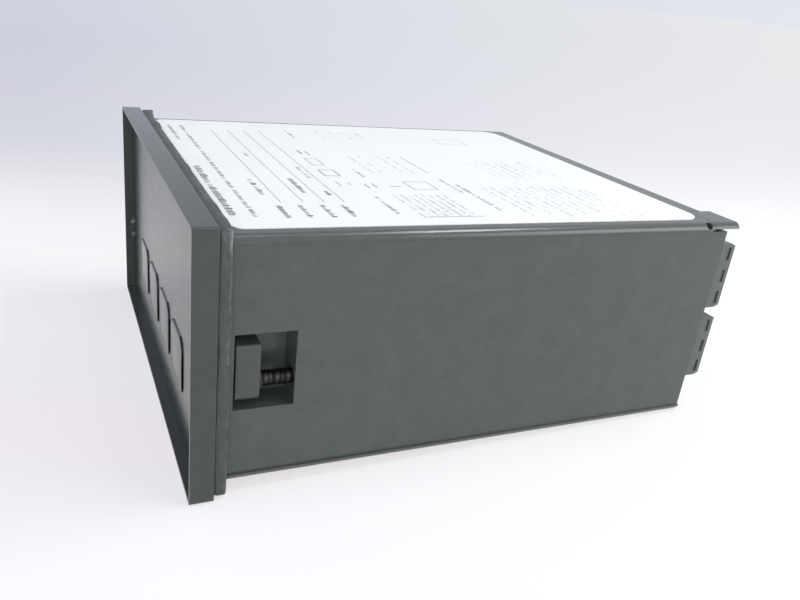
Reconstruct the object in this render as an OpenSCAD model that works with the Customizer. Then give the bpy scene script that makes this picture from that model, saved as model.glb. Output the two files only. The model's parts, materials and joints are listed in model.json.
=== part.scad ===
// Digital panel meter for a 1/8 DIN cut-out, held in its panel by two swinging pawls.
// The origin is the middle of the panel seat: the front faces -Y and the case runs along +Y.

/* [Panel cut-out] */
// Width of the hole in the panel
cutout_w = 92; // [84:0.5:120]
// Height of the hole in the panel
cutout_h = 45; // [42:0.5:60]

/* [Bezel] */
// How far the front flange covers the panel at each side
side_lap = 2; // [1.2:0.1:6]
// How far the front flange covers the panel above and below
top_lap = 1.5; // [1:0.1:6]
// Thickness of the front flange
bezel_t = 4; // [3.8:0.1:7]
// Width of the raised rim round the front
rim = 0.6; // [0.4:0.1:1.4]
// Radius of the flange's corners
bezel_r = 0.8; // [0.3:0.1:2]
// Depth of the recess inside the rim
recess_d = 2; // [1.6:0.1:2.4]
// Thickness of the front window
window_t = 1; // [0.8:0.1:1.1]
// Thickness of the rubber gasket
gasket_t = 2.2; // [1:0.1:3]
// How far the gasket stays inside the flange's edge
gasket_inset = 0.3; // [0.1:0.1:0.8]

/* [Case] */
// Play of the case across the cut-out
side_play = 0.3; // [0.1:0.1:0.8]
// Play of the case up and down the cut-out
top_play = 1; // [0.4:0.1:1.4]
// Length of the case behind the flange
case_depth = 104; // [100:1:130]
// Thickness of the case walls
wall = 2; // [1.6:0.1:2.2]
// Radius of the long edges
edge_r = 1.5; // [0.5:0.1:1.9]
// Depth of the flat bands along both sides
side_relief = 0.4; // [0.1:0.1:0.6]
// Height of the bead left along each long edge
bead_h = 1.4; // [1:0.1:3]
// Thickness of the rear cover
cover_t = 2; // [1.5:0.1:3]
// Width of the finger tabs on the rear cover
tab_w = 8.8; // [6:0.1:12]
// Thickness of the finger tabs
tab_t = 1.2; // [0.8:0.1:1.5]
// How far the finger tabs stand out behind the case
tab_reach = 2.8; // [1:0.1:5]
// Length of the notch that each finger tab fills
tab_seat = 3.8; // [3:0.1:6]
// Radius of the latch hole beside each finger tab
latch_r = 0.8; // [0.4:0.1:1]

/* [Label] */
// Bare strip at each side of the label
label_side = 3.1; // [2:0.1:12]
// Bare strip behind the label
label_rear = 4.5; // [4:0.1:20]
// Distance from the panel seat to the label
label_start = 0.8; // [0.5:0.1:6]
// Thickness of the label
label_t = 0.15; // [0.1:0.01:0.3]

/* [Clamps] */
// Distance from the case's side to the clamp screw
screw_inset = 2.95; // [2.9:0.05:3.4]
// Height of the clamp screw off the middle of the case
screw_drop = 4; // [2:0.1:6]
// Radius of the clamp screw
screw_r = 1.42; // [1.2:0.01:1.5]
// Lead of the screw's thread
thread_pitch = 0.635; // [0.4:0.005:0.7]
// Turns of the screw from end to end
screw_turns = 7; // [5:1:10]
// Radius of the screw's head
head_r = 1.8; // [1.6:0.1:1.9]
// Height of the screw's head
head_h = 2; // [1.5:0.1:3]
// Thinnest panel that the pawls hold
pawl_gap = 1.3; // [0.8:0.1:3]
// Thickness of the pawls
pawl_t = 4.2; // [3:0.1:5]
// Radius of the pawl's hub
hub_r = 2.4; // [2.3:0.05:2.6]
// Reach of the pawl from its screw
pawl_reach = 7.4; // [6:0.1:8]
// Length of the pawl's heel below its screw
pawl_heel = 3.1; // [2.6:0.1:3.2]
// Wall of the moulded wells
well_wall = 1.2; // [0.8:0.1:2]
// Length of the threaded insert
insert_l = 3.2; // [2.4:0.1:6]
// Running clearance on the screw
screw_fit = 0.04; // [0.02:0.01:0.08]

/* [Keys] */
// Width of a key
key_w = 12; // [9:0.1:13]
// Height of a key
key_h = 10.4; // [8:0.1:11]
// Distance between keys
key_pitch = 15.4; // [14.6:0.1:17]
// Height of the keys' lower edge
key_low = -13.6; // [-16:0.1:-13]
// How far the keys stand out of the window
key_proud = 0.6; // [0.5:0.1:1.4]
// Crown of a key's face
key_crown = 0.2; // [0.1:0.05:0.3]
// Travel of a key
key_travel = 0.3; // [0.2:0.1:0.6]
// Clearance round a key
key_fit = 0.15; // [0.1:0.01:0.3]
// Width of a key switch
switch_w = 6; // [5:0.1:8]
// Height of a key switch
switch_t = 3.5; // [3:0.1:4.5]

/* [Display] */
// Number of digits
digit_count = 5; // [3:1:5]
// Width of one digit module
digit_w = 12.7; // [10:0.1:14]
// Height of one digit module
digit_h = 19; // [14:0.1:20]
// Depth of one digit module
digit_t = 8; // [7:0.1:9]
// Thickness of the circuit boards
board_t = 1.6; // [1:0.1:2]

/* [Terminals] */
// Distance between the terminals of a plug
pole_pitch = 5; // [4.6:0.01:5.08]
// Terminals in one plug
poles = 3; // [2:1:3]
// Height of the upper plug's middle
plug_high = 9.3; // [9.2:0.1:10]
// Height of the lower plug's middle
plug_drop = -7.5; // [-9:0.1:-7.4]
// Width of the plugs across the case
plug_w = 11.3; // [10.6:0.1:11.6]
// How far the plugs stand out behind the case
plug_reach = 6.3; // [5:0.1:10]

/* [Hidden] */
$fn = 64;

// Cutters run this far past the faces that they open
over = 1;
// Room for a snug seat between two pieces at rest
seat = 0.1;

// Planes along the depth
bezel_back = -gasket_t;
bezel_front = bezel_back - bezel_t;
window_front = bezel_front + recess_d;
window_back = window_front + window_t;
case_rear = bezel_back + case_depth;
cover_front = case_rear - cover_t;
case_w = cutout_w - side_play;
case_h = cutout_h - top_play;
bezel_w = cutout_w + 2*side_lap;
bezel_h = cutout_h + 2*top_lap;
inner_w = case_w - 2*wall;
inner_h = case_h - 2*wall;

// Corners of the label
label_front_r = 2;
label_rear_r = 4.5;

// Finger tabs and their notches
tab_x = case_w/2 - tab_w;
tab_low = case_h/2 - tab_t;
tab_front = case_rear - tab_seat;
tab_room = 0.6;

// Clamp: the pawl turns on the journal of its screw, between a clip and a washer, and the
// screw runs in an insert in the rear wall of the well
screw_x = case_w/2 - screw_inset;
pawl_travel = thread_pitch*screw_turns;
journal_r = screw_r - 0.37;
neck_r = journal_r - 0.3;
clip_t = 0.4;
clip_r = hub_r - 0.5;
washer_t = 0.4;
washer_r = hub_r - 0.2;
pawl_back = pawl_gap + pawl_t;
washer_back = pawl_back + washer_t;
travel_room = 0.95;
insert_r = screw_r + 0.55;
boss_r = insert_r + 0.9;
well_front = pawl_gap - 0.3;
well_back = washer_back + pawl_travel + travel_room;
well_rear = well_back + well_wall;
insert_rear = well_back + insert_l;
head_front = insert_rear + 0.3;
screw_tip = pawl_gap + seat;
clip_front = screw_tip + 0.3;
well_room = 1.1;
well_head = 1.7;
well_side = screw_x - hub_r - well_room;
well_low = -screw_drop - pawl_heel - well_room;
well_high = -screw_drop + norm([pawl_reach, hub_r]) + well_head;
driver_r = head_r + seat;

// Display board, its digits and switches
digit_gap = 0.4;
display_front = window_back + digit_gap + digit_t;
display_back = display_front + board_t;
display_w = 2*(well_side - well_wall) - 1;
board_room = 0.4;
display_h = inner_h - 2*board_room;
digit_rise = 1.6;
digit_low = key_low + key_h + digit_rise;
switch_front = display_front - switch_t;
plunger_r = 1.75;
plunger_fit = 0.1;
plunger_front = switch_front - key_travel - 1;
plunger_back = switch_front + 0.6;
key_flange_t = 0.8;
key_lip = 0.6;
crown_r = (key_w*key_w/4 + key_crown*key_crown)/(2*key_crown);
key_flange_front = window_back + 0.05;
key_mid = key_low + key_h/2;
key_top_r = 2.6;
key_low_r = 1;
key_stem_r = 2;

// Upright boards in their rails
header_w = 9.3;
power_face = screw_x - driver_r - seat - header_w;
power_x = power_face - board_t;
board_gap = 42;
signal_x = power_x - board_gap;
rail_w = 1;
rail_h = 1.5;
rail_fit = 0.1;
board_front = display_back + 0.9;
board_end_gap = 2.8;
board_rear = cover_front - board_end_gap;
rail_start = 10;
rail_front = board_front + rail_start;
board_h = inner_h - 0.4;

// Plugs, headers and terminals
header_wall = 0.9;
header_l = 10.5;
header_rear = board_rear;
header_front = header_rear - header_l;
plug_fit = 0.15;
pole_x = power_face + header_w/2;
nose_front = header_front + header_wall + 1;
plug_front = header_rear + 0.3;
plug_rear = case_rear + plug_reach;
plug_x = inner_w/2 - 0.65 - plug_w;
pole_h = 4.7;
plug_h = (poles - 1)*pole_pitch + pole_h;
nose_h = plug_h - 0.1;
nose_w = header_w - 2*header_wall - 2*plug_fit;
header_h = nose_h + 2*plug_fit + 2*header_wall;
plug_mids = [plug_high, plug_drop];
pin_t = 1;
pin_tail = 1.2;
pin_room = 1.5;
pin_bend = header_front - pin_room;
cage_start = 3.3;
cage_front = plug_front + cage_start;
cage_l = 5;
cage_w = 4.4;
cage_h = 3.7;
socket_t = 2.2;
terminal_r = 1.25;
terminal_head_r = 1.8;
terminal_head_h = 1.5;
wire_x = pole_x + 1.05;
wire_r = 1.4;
slot_l = 0.8;
slot_h = 2.8;
slot_d = 0.4;
slot_inset = 1.3;
slot_y = plug_rear - slot_inset;

// Colours
shell_colour = "#26272a";
board_colour = "#1f5a34";
steel_colour = "#b9bcc0";
brass_colour = "#b89a54";
chip_colour = "#1c1c1e";

// Everything on the far side is the near side turned half a turn about the depth axis
module far_side() {
    rotate([0, 180, 0]) children();
}

module both_sides() {
    children();
    far_side() children();
}

// Extrudes an XZ outline from one depth to another
module along_y(front, back) {
    translate([0, back, 0]) rotate([90, 0, 0]) linear_extrude(back - front) children();
}

// A box given by its two opposite corners
module block(low, high) {
    translate(low) cube(high - low);
}

// A round bar along the depth
module rod_y(x, z, r, front, back) {
    translate([x, front, z]) rotate([-90, 0, 0]) cylinder(r = r, h = back - front);
}

// A round bar across the case
module rod_x(y, z, r, left, right) {
    translate([left, y, z]) rotate([0, 90, 0]) cylinder(r = r, h = right - left);
}

module rounded_rect(w, h, r) {
    square([w - 2*r, h], center = true);
    square([w, h - 2*r], center = true);
    for (x = [-1, 1], y = [-1, 1]) translate([x*(w/2 - r), y*(h/2 - r)]) circle(r);
}

// A rectangle with one radius at its low corners and another at its high ones
module corner_rect(w, low, high, r_low, r_high) {
    polygon([[-w/2 + r_low, low], [w/2 - r_low, low], [w/2, low + r_low], [w/2, high - r_high],
        [w/2 - r_high, high], [-w/2 + r_high, high], [-w/2, high - r_high], [-w/2, low + r_low]]);
    for (side = [-1, 1]) {
        translate([side*(w/2 - r_low), low + r_low]) circle(r_low);
        translate([side*(w/2 - r_high), high - r_high]) circle(r_high);
    }
}

// Outline of the case: rounded beads along the four edges, flat bands between them
module case_outline() {
    difference() {
        rounded_rect(case_w, case_h, edge_r);
        for (side = [-1, 1]) translate([side*case_w/2, 0])
            square([2*side_relief, case_h - 2*bead_h], center = true);
    }
}

module case_walls() {
    difference() {
        along_y(window_back, case_rear) case_outline();
        along_y(bezel_front, case_rear + over) square([inner_w, inner_h], center = true);
    }
}

module flange() {
    difference() {
        along_y(bezel_front, bezel_back) rounded_rect(bezel_w, bezel_h, bezel_r);
        along_y(bezel_front - over, window_back)
            square([bezel_w - 2*rim, bezel_h - 2*rim], center = true);
        along_y(bezel_front, bezel_back + over) square([inner_w, inner_h], center = true);
    }
}

module well_shell() {
    block([well_side - well_wall, bezel_back, well_low - well_wall],
        [case_w/2 - wall + seat, well_rear, well_high + well_wall]);
    block([screw_x - boss_r, well_back, -screw_drop - boss_r],
        [case_w/2 - wall + seat, insert_rear, -screw_drop + boss_r]);
}

module well_space() {
    block([well_side, well_front, well_low], [case_w/2 + over, well_back, well_high]);
    rod_y(screw_x, -screw_drop, insert_r, well_back - over, insert_rear + over);
    rod_y(screw_x, -screw_drop, driver_r, insert_rear, case_rear + over);
}

// A pair of rails on the floor and roof for each upright board
module board_rails() {
    for (x = [power_x, signal_x], roof = [0, 1]) mirror([0, 0, roof])
        for (side = [-rail_w - rail_fit, board_t + rail_fit])
            block([x + side, rail_front, -inner_h/2 - seat],
                [x + side + rail_w, board_rear, -inner_h/2 + rail_h]);
}

// Four moulded stops that the display board is pushed against
module display_stops() {
    for (x = [-1, 1], roof = [0, 1]) mirror([0, 0, roof])
        block([x*stop_x - 1, bezel_back, -inner_h/2 - seat],
            [x*stop_x + 1, display_front, -inner_h/2 + stop_h]);
}
stop_inset = 3.7;
stop_x = display_w/2 - stop_inset;
stop_h = 1.5;

module tab_notch() {
    block([tab_x - seat, tab_front - seat, tab_low - tab_room],
        [case_w/2 + over, case_rear + over, case_h/2 + over]);
    block([tab_x - seat, tab_front - seat, inner_h/2 - seat],
        [inner_w/2, case_rear + over, case_h/2 + over]);
}

module latch_hole() {
    translate([case_w/2 - edge_r, tab_front - 2*latch_r, case_h/2 - edge_r])
        rotate([0, 45, 0]) cylinder(r = latch_r, h = edge_r + over);
}

module case() {
    color(shell_colour) difference() {
        union() {
            flange();
            case_walls();
            both_sides() well_shell();
            board_rails();
            display_stops();
        }
        both_sides() {
            well_space();
            tab_notch();
            latch_hole();
        }
    }
}

module key_outline(grow) {
    corner_rect(key_w + 2*grow, key_low - grow, key_low + key_h + grow,
        key_low_r + grow, key_top_r + grow);
}

function key_x(i) = (i - 2.5)*key_pitch;

module front_window() {
    color("#15161a") along_y(window_front, window_back) difference() {
        square([bezel_w - 2*rim - seat, bezel_h - 2*rim - seat], center = true);
        for (i = [1:4]) translate([key_x(i), 0]) key_outline(key_fit);
    }
}

module gasket() {
    color("#1b1b1c") along_y(bezel_back, 0) difference() {
        rounded_rect(bezel_w - 2*gasket_inset, bezel_h - 2*gasket_inset, edge_r);
        rounded_rect(case_w + 2*gasket_room, case_h + 2*gasket_room, edge_r);
    }
}
gasket_room = 0.3;

module label() {
    color("silver") translate([0, 0, case_h/2]) linear_extrude(label_t)
        corner_rect(case_w - 2*label_side, label_start, case_rear - label_rear,
            label_front_r, label_rear_r);
}

module finger_tab() {
    intersection() {
        along_y(tab_front, case_rear + tab_reach) case_outline();
        block([tab_x, tab_front, tab_low], [case_w/2, case_rear + tab_reach, case_h/2]);
    }
    block([tab_x, cover_front, inner_h/2 - over], [inner_w/2 - seat, case_rear, tab_low + seat]);
}

// Openings for both plugs, run out to the cover's edge so that a driver reaches the near screw
module plug_openings() {
    for (mid = plug_mids)
        block([plug_x - plug_room, cover_front - over, mid - plug_h/2 - plug_room],
            [case_w/2, case_rear + over, mid + plug_h/2 + plug_room]);
}
plug_room = 0.35;

module rear_cover() {
    color(shell_colour) difference() {
        union() {
            along_y(cover_front, case_rear)
                square([inner_w - 2*seat, inner_h - 2*seat], center = true);
            both_sides() finger_tab();
        }
        plug_openings();
        far_side() rod_y(screw_x, -screw_drop, driver_r, cover_front - over, case_rear + over);
    }
}

module pawl() {
    color("#303134") difference() {
        translate([screw_x, 0, -screw_drop]) along_y(pawl_gap, pawl_back) {
            translate([-seat/2, 0])
                corner_rect(2*hub_r - seat, -pawl_heel, pawl_reach, pawl_heel_r, pawl_tip_r);
        }
        rod_y(screw_x, -screw_drop, journal_r + screw_fit, pawl_gap - over, pawl_back + over);
        rod_y(screw_x, -screw_drop, clip_r + seat, pawl_gap - over, clip_front + clip_t);
    }
}
pawl_tip_r = 0.6;
pawl_heel_r = 1.5;

module thrust_washer() {
    color(steel_colour) difference() {
        rod_y(screw_x, -screw_drop, washer_r, pawl_back, washer_back);
        rod_y(screw_x, -screw_drop, journal_r + screw_fit, pawl_back - over, washer_back + over);
    }
}

// Threaded insert, flush with the rear wall of the well and held in the boss behind it
module thread_insert() {
    color(brass_colour) difference() {
        rod_y(screw_x, -screw_drop, insert_r, well_back, insert_rear);
        rod_y(screw_x, -screw_drop, screw_r + screw_fit, well_back - over, insert_rear + over);
    }
}

module clamp_screw() {
    color(steel_colour) difference() {
        union() {
            rod_y(screw_x, -screw_drop, journal_r, screw_tip, clip_front);
            rod_y(screw_x, -screw_drop, neck_r, clip_front, clip_front + clip_t);
            rod_y(screw_x, -screw_drop, journal_r, clip_front + clip_t, washer_back);
            rod_y(screw_x, -screw_drop, screw_r, washer_back, head_front);
            rod_y(screw_x, -screw_drop, head_r, head_front, head_front + head_h);
        }
        block([screw_x - head_r - over, head_front + head_h - drive_d, -screw_drop - drive_w/2],
            [screw_x + head_r + over, head_front + head_h + over, -screw_drop + drive_w/2]);
    }
}
drive_w = 0.7;
drive_d = 1;

// Open ring that snaps into the screw's neck from one side
module screw_clip() {
    color(steel_colour) difference() {
        rod_y(screw_x, -screw_drop, clip_r, clip_front, clip_front + clip_t);
        rod_y(screw_x, -screw_drop, neck_r, clip_front - over, clip_front + clip_t + over);
        block([screw_x - clip_mouth/2, clip_front - over, -screw_drop - clip_r - over],
            [screw_x + clip_mouth/2, clip_front + clip_t + over, -screw_drop]);
    }
}
clip_mouth = 1.2;

module key(i) {
    color("#3a3b3f") translate([key_x(i), 0, 0]) {
        intersection() {
            along_y(window_front - key_proud, key_flange_front) key_outline(0);
            translate([0, window_front - key_proud + crown_r, key_mid]) sphere(crown_r);
        }
        along_y(key_flange_front, key_flange_front + key_flange_t) key_outline(key_lip);
        rod_y(0, key_mid, key_stem_r, key_flange_front + key_flange_t, plunger_front);
    }
}

module plunger(i) {
    color("#d8d4c8") rod_y(key_x(i), key_mid, plunger_r, plunger_front, plunger_back);
}

module key_switches() {
    color(chip_colour) for (i = [1:4]) translate([key_x(i), 0, key_mid]) difference() {
        along_y(switch_front, display_front) square(switch_w, center = true);
        rod_y(0, 0, plunger_r + plunger_fit, switch_front - over,
            plunger_back + key_travel + seat);
    }
}

module display_board() {
    color(board_colour) along_y(display_front, display_back)
        square([display_w, display_h], center = true);
}

// One bar of a digit, pointed at both ends and leaning with the digit: along is its direction,
// at its middle
module segment(at, along, l) {
    half = [[-l/2, 0], [segment_w/2 - l/2, segment_w/2], [l/2 - segment_w/2, segment_w/2], [l/2, 0]];
    low = [[l/2 - segment_w/2, -segment_w/2], [segment_w/2 - l/2, -segment_w/2]];
    polygon([for (p = concat(half, low)) let (x = at[0] + p[0]*along[0] + p[1]*along[1],
        z = at[1] + p[0]*along[1] + p[1]*along[0]) [x + digit_lean*z, z]]);
}

module digit_face() {
    for (z = [-1:1]) segment([0, z*segment_h], [1, 0], segment_l);
    for (x = [-1, 1], z = [-1, 1])
        segment([x*segment_l/2, z*segment_h/2], [0, 1], segment_h - segment_gap);
    translate([segment_l/2 + point_x - digit_lean*segment_h, -segment_h]) circle(point_r);
}
segment_w = 1.4;
segment_l = 5.8;
segment_h = 6.3;
segment_gap = 0.3;
segment_d = 0.3;
digit_lean = 0.12;
point_x = 1.6;
point_r = 0.8;

module digit_modules() {
    for (i = [1:digit_count]) color("#e2e0da")
        translate([(i - (digit_count + 1)/2)*digit_w, 0, digit_low + digit_h/2]) difference() {
            along_y(display_front - digit_t, display_front)
                square([digit_w - seat, digit_h], center = true);
            along_y(display_front - digit_t - over, display_front - digit_t + segment_d)
                digit_face();
        }
}

module upright_board(x) {
    block([x, board_front, -board_h/2], [x + board_t, board_rear, board_h/2]);
}

module pin_holes() {
    for (mid = plug_mids, pole = pole_rows) rod_x(pin_bend, mid + pole, pin_hole_r,
        power_x - over, power_face + over);
}
pole_rows = [for (i = [0:poles - 1]) (i - (poles - 1)/2)*pole_pitch];
pin_hole_r = 0.75;

module power_board() {
    color(board_colour) difference() {
        upright_board(power_x);
        pin_holes();
    }
}

module signal_board() {
    color(board_colour) upright_board(signal_x);
}

// Angle connectors between the display board and the two upright boards
module board_links() {
    for (x = [power_x, signal_x]) color(chip_colour)
        block([x - link_w, display_back, -link_h/2], [x, display_back + link_l, link_h/2]);
}
link_w = 2.5;
link_l = 8.5;
link_h = 20.3;

// Cans on the power board: height and radius. The transformer lies between the front can and
// those in front of the headers' pins
big_can = [20, 6.3];
small_can = [16, 5];
can_front = board_front + 2.5*big_can[1];
can_rear = pin_bend - small_can[1] - 1.5*pin_t;
core_mid = (can_front + big_can[1] + can_rear - small_can[1])/2;

// Small mains transformer: winding on a bobbin round the middle leg of a laminated core
core_l = 30;
core_h = 25;
core_t = 12.5;
core_leg = 10;
core_side = 5;
bobbin_w = 21.5;
bobbin_wall = 1;
core_x = power_x - bobbin_w/2;
window_h = core_h - 2*core_side;
window_l = (core_l - core_leg - 2*core_side)/2;
bobbin_l = core_leg + 2*window_l - 2*seat;

module leg_box(w, l, h) {
    translate([core_x, core_mid, 0]) cube([w, l, h], center = true);
}

module transformer_core() {
    color("#6c6e72") difference() {
        leg_box(core_t, core_l, core_h);
        for (side = [-1, 1]) translate([0, side*(core_leg + window_l)/2, 0])
            leg_box(core_t + over, window_l, window_h);
    }
}

module transformer_bobbin() {
    color("#d9cfa8") difference() {
        leg_box(bobbin_w, bobbin_l, window_h - 2*seat);
        difference() {
            leg_box(bobbin_w + over, bobbin_l + over, window_h - 2*bobbin_wall);
            leg_box(core_t + 2*seat + 2*bobbin_wall, core_leg + 2*seat + 2*bobbin_wall, window_h);
        }
        leg_box(core_t + 2*seat, core_leg + 2*seat, window_h + over);
    }
}

module transformer_winding() {
    color("#a5502a") difference() {
        leg_box(bobbin_w - 2*seat, bobbin_l - 2*seat, window_h - 2*bobbin_wall);
        leg_box(core_t + 2*seat + 2*bobbin_wall, core_leg + 2*seat + 2*bobbin_wall,
            window_h + over);
    }
}

// Parts that stand on a board: size is how far they stand out, then depth and height
module flat_part(x, y, z, size) {
    block([x - size[0], y - size[1]/2, z - size[2]/2], [x, y + size[1]/2, z + size[2]/2]);
}

// A can of the given height and radius, standing on the power board
module can(y, z, size) {
    rod_x(y, z, size[1], power_x - size[0], power_x);
}

module capacitors() {
    color("#22324a") {
        can(can_front, 1.5*big_can[1], big_can);
        can(can_front, -1.5*small_can[1], small_can);
        can(can_rear, 2.2*small_can[1], small_can);
    }
}

fuse_size = [8, 4.2];
fuse_y = pin_bend - fuse_size[1] - 1.5*pin_t;
fuse_z = -11.6;

module fuse() {
    color("#7a3a22") can(fuse_y, fuse_z, fuse_size);
}

varistor_r = 6;
varistor_t = 4;
varistor_y = board_rear - 2*varistor_t;
varistor_z = -3;
lead_t = 1;
lead_l = 3;
lead_pitch = 4;

module varistor() {
    color("#2f5f8a") {
        rod_y(power_x - varistor_r - lead_l + lead_t, varistor_z, varistor_r,
            varistor_y, varistor_y + varistor_t);
        for (side = [-1, 1]) flat_part(power_x, varistor_y + varistor_t/2,
            varistor_z + side*lead_pitch/2, [lead_l, lead_t, lead_t]);
    }
}

rectifier_size = [3.3, 8.4, 6.4];
regulator_size = [4.5, 6, 10];
optocoupler_size = [3.6, 4.6, 6.5];
processor_size = [1.6, 14, 14];
converter_size = [2.6, 13, 7.6];
crystal_size = [3.6, 11, 4.6];
chip_y = board_front + 2*processor_size[1];
chip_z = 2;
low_z = -12;

module rectifier() {
    color(chip_colour) flat_part(power_x, core_mid, low_z, rectifier_size);
}

module regulator() {
    color(chip_colour) flat_part(power_x, board_rear - regulator_size[1], -low_z - lead_t,
        regulator_size);
}

module optocouplers() {
    color(chip_colour) for (i = [0:2])
        flat_part(signal_x, chip_y + i*(optocoupler_size[1] + lead_l), low_z, optocoupler_size);
}

module processor() {
    color(chip_colour) flat_part(signal_x, chip_y, chip_z, processor_size);
}

module converter() {
    color(chip_colour) flat_part(signal_x, chip_y + 2*processor_size[1], chip_z, converter_size);
}

module crystal() {
    color(steel_colour) flat_part(signal_x, chip_y,
        chip_z + processor_size[2]/2 + crystal_size[2], crystal_size);
}

module plug_headers() {
    color("#2c6b3c") for (mid = plug_mids) difference() {
        block([power_face, header_front, mid - header_h/2],
            [power_face + header_w, header_rear, mid + header_h/2]);
        block([power_face + header_wall, header_front + header_wall, mid - header_h/2 + header_wall],
            [power_face + header_w - header_wall, header_rear + over,
                mid + header_h/2 - header_wall]);
        for (pole = pole_rows) block([pole_x - pin_t/2, header_front - over, mid + pole - pin_t/2],
            [pole_x + pin_t/2, header_rear, mid + pole + pin_t/2]);
    }
}

module header_pins() {
    color(steel_colour) for (mid = plug_mids, pole = pole_rows) translate([0, 0, mid + pole]) {
        block([pole_x - pin_t/2, pin_bend - pin_t/2, -pin_t/2],
            [pole_x + pin_t/2, header_rear - 1, pin_t/2]);
        block([power_x - pin_tail, pin_bend - pin_t/2, -pin_t/2],
            [pole_x + pin_t/2, pin_bend + pin_t/2, pin_t/2]);
    }
}

module plug_pole() {
    block([pole_x - cage_w/2 - seat, cage_front - seat, -cage_h/2 - seat],
        [pole_x + cage_w/2 + seat, cage_front + cage_l + seat, cage_h/2 + seat]);
    block([pole_x - socket_t/2 - seat, nose_front - over, -socket_t/2 - seat],
        [pole_x + socket_t/2 + seat, cage_front, socket_t/2 + seat]);
    rod_y(wire_x, 0, wire_r, cage_front + cage_l, plug_rear + over);
    translate([wire_x, plug_rear - funnel_l, 0]) rotate([-90, 0, 0])
        cylinder(r1 = wire_r, r2 = funnel_r, h = funnel_l);
    rod_x(cage_front + cage_l/2, 0, terminal_head_r + seat, plug_x - over, pole_x - cage_w/2);
    block([plug_x + plug_w - slot_d, slot_y - slot_l/2, -slot_h/2],
        [plug_x + plug_w + over, slot_y + slot_l/2, slot_h/2]);
}

// Side view of a plug, with its rear corners bevelled
module plug_side() {
    polygon([[plug_front, -plug_h/2], [plug_rear - plug_bevel_l, -plug_h/2],
        [plug_rear, plug_bevel_h - plug_h/2], [plug_rear, plug_h/2 - plug_bevel_h],
        [plug_rear - plug_bevel_l, plug_h/2], [plug_front, plug_h/2]]);
}
plug_bevel_l = 1.2;
plug_bevel_h = 0.5;
funnel_l = 0.8;
funnel_r = 1.9;

module plug(mid) {
    color("#23272a") translate([0, 0, mid]) difference() {
        union() {
            translate([plug_x, 0, 0]) rotate([90, 0, 90]) linear_extrude(plug_w) plug_side();
            block([pole_x - nose_w/2, nose_front, -nose_h/2],
                [pole_x + nose_w/2, plug_front + over, nose_h/2]);
        }
        for (pole = pole_rows) translate([0, 0, pole]) plug_pole();
    }
}

// Wire cage and pin socket in one piece, one for each pole
module terminal_contacts() {
    color(brass_colour) for (mid = plug_mids, pole = pole_rows) translate([0, 0, mid + pole])
        difference() {
            union() {
                block([pole_x - cage_w/2, cage_front, -cage_h/2],
                    [pole_x + cage_w/2, cage_front + cage_l, cage_h/2]);
                block([pole_x - socket_t/2, nose_front + 0.5, -socket_t/2],
                    [pole_x + socket_t/2, cage_front + over, socket_t/2]);
            }
            block([pole_x - pin_t/2 - seat/2, nose_front - over, -pin_t/2 - seat/2],
                [pole_x + pin_t/2 + seat/2, header_rear, pin_t/2 + seat/2]);
            block([wire_x - 1, cage_front + 1, -cage_h/2 + 0.5],
                [wire_x + 1, cage_front + cage_l + over, cage_h/2 - 0.5]);
            rod_x(cage_front + cage_l/2, 0, terminal_r, pole_x - cage_w/2 - over, wire_x);
        }
}

module terminal_screws() {
    color(steel_colour) for (mid = plug_mids, pole = pole_rows)
        translate([0, cage_front + cage_l/2, mid + pole]) difference() {
            union() {
                rod_x(0, 0, terminal_head_r, screw_left, screw_left + terminal_head_h);
                rod_x(0, 0, terminal_r, screw_left, wire_x - 1);
            }
            block([screw_left - over, -drive_w/2, -terminal_head_r - over],
                [screw_left + drive_d/2, drive_w/2, terminal_head_r + over]);
        }
}
screw_left = pole_x - cage_w/2 - terminal_head_h - seat;

case();
front_window();
gasket();
label();
rear_cover();
pawl();  // pawl_right
far_side() pawl();  // pawl_left
thrust_washer();  // thrust_washer_right
far_side() thrust_washer();  // thrust_washer_left
clamp_screw();  // clamp_screw_right
far_side() clamp_screw();  // clamp_screw_left
screw_clip();  // screw_clip_right
far_side() screw_clip();  // screw_clip_left
thread_insert();  // thread_insert_right
far_side() thread_insert();  // thread_insert_left
key(1);  // key_1
key(2);  // key_2
key(3);  // key_3
key(4);  // key_4
plunger(1);  // plunger_1
plunger(2);  // plunger_2
plunger(3);  // plunger_3
plunger(4);  // plunger_4
key_switches();
display_board();
digit_modules();
board_links();
power_board();
signal_board();
transformer_core();
transformer_bobbin();
transformer_winding();
capacitors();
fuse();
varistor();
rectifier();
regulator();
optocouplers();
processor();
converter();
crystal();
plug_headers();
header_pins();
plug(plug_high);  // plug_upper
plug(plug_drop);  // plug_lower
terminal_contacts();
terminal_screws();
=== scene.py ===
import json
import math
import random

import bmesh
import bpy
from mathutils import Matrix, Vector


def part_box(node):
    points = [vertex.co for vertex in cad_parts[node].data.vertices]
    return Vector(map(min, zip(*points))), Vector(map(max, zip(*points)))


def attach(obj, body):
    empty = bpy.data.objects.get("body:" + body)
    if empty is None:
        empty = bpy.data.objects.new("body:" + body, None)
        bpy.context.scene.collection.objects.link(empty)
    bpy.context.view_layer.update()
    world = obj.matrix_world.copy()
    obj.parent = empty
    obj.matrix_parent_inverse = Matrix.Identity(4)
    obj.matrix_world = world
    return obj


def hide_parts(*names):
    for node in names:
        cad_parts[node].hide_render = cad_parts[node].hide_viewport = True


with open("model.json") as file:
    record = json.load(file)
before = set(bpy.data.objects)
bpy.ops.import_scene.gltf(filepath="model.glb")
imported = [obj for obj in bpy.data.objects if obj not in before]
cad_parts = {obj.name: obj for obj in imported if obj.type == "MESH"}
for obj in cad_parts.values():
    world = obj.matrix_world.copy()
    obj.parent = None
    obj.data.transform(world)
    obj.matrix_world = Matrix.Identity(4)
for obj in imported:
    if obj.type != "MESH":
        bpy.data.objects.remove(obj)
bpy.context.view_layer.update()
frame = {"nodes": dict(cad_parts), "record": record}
mm = 0.001
nodes = frame["nodes"]
record = frame["record"]
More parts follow.
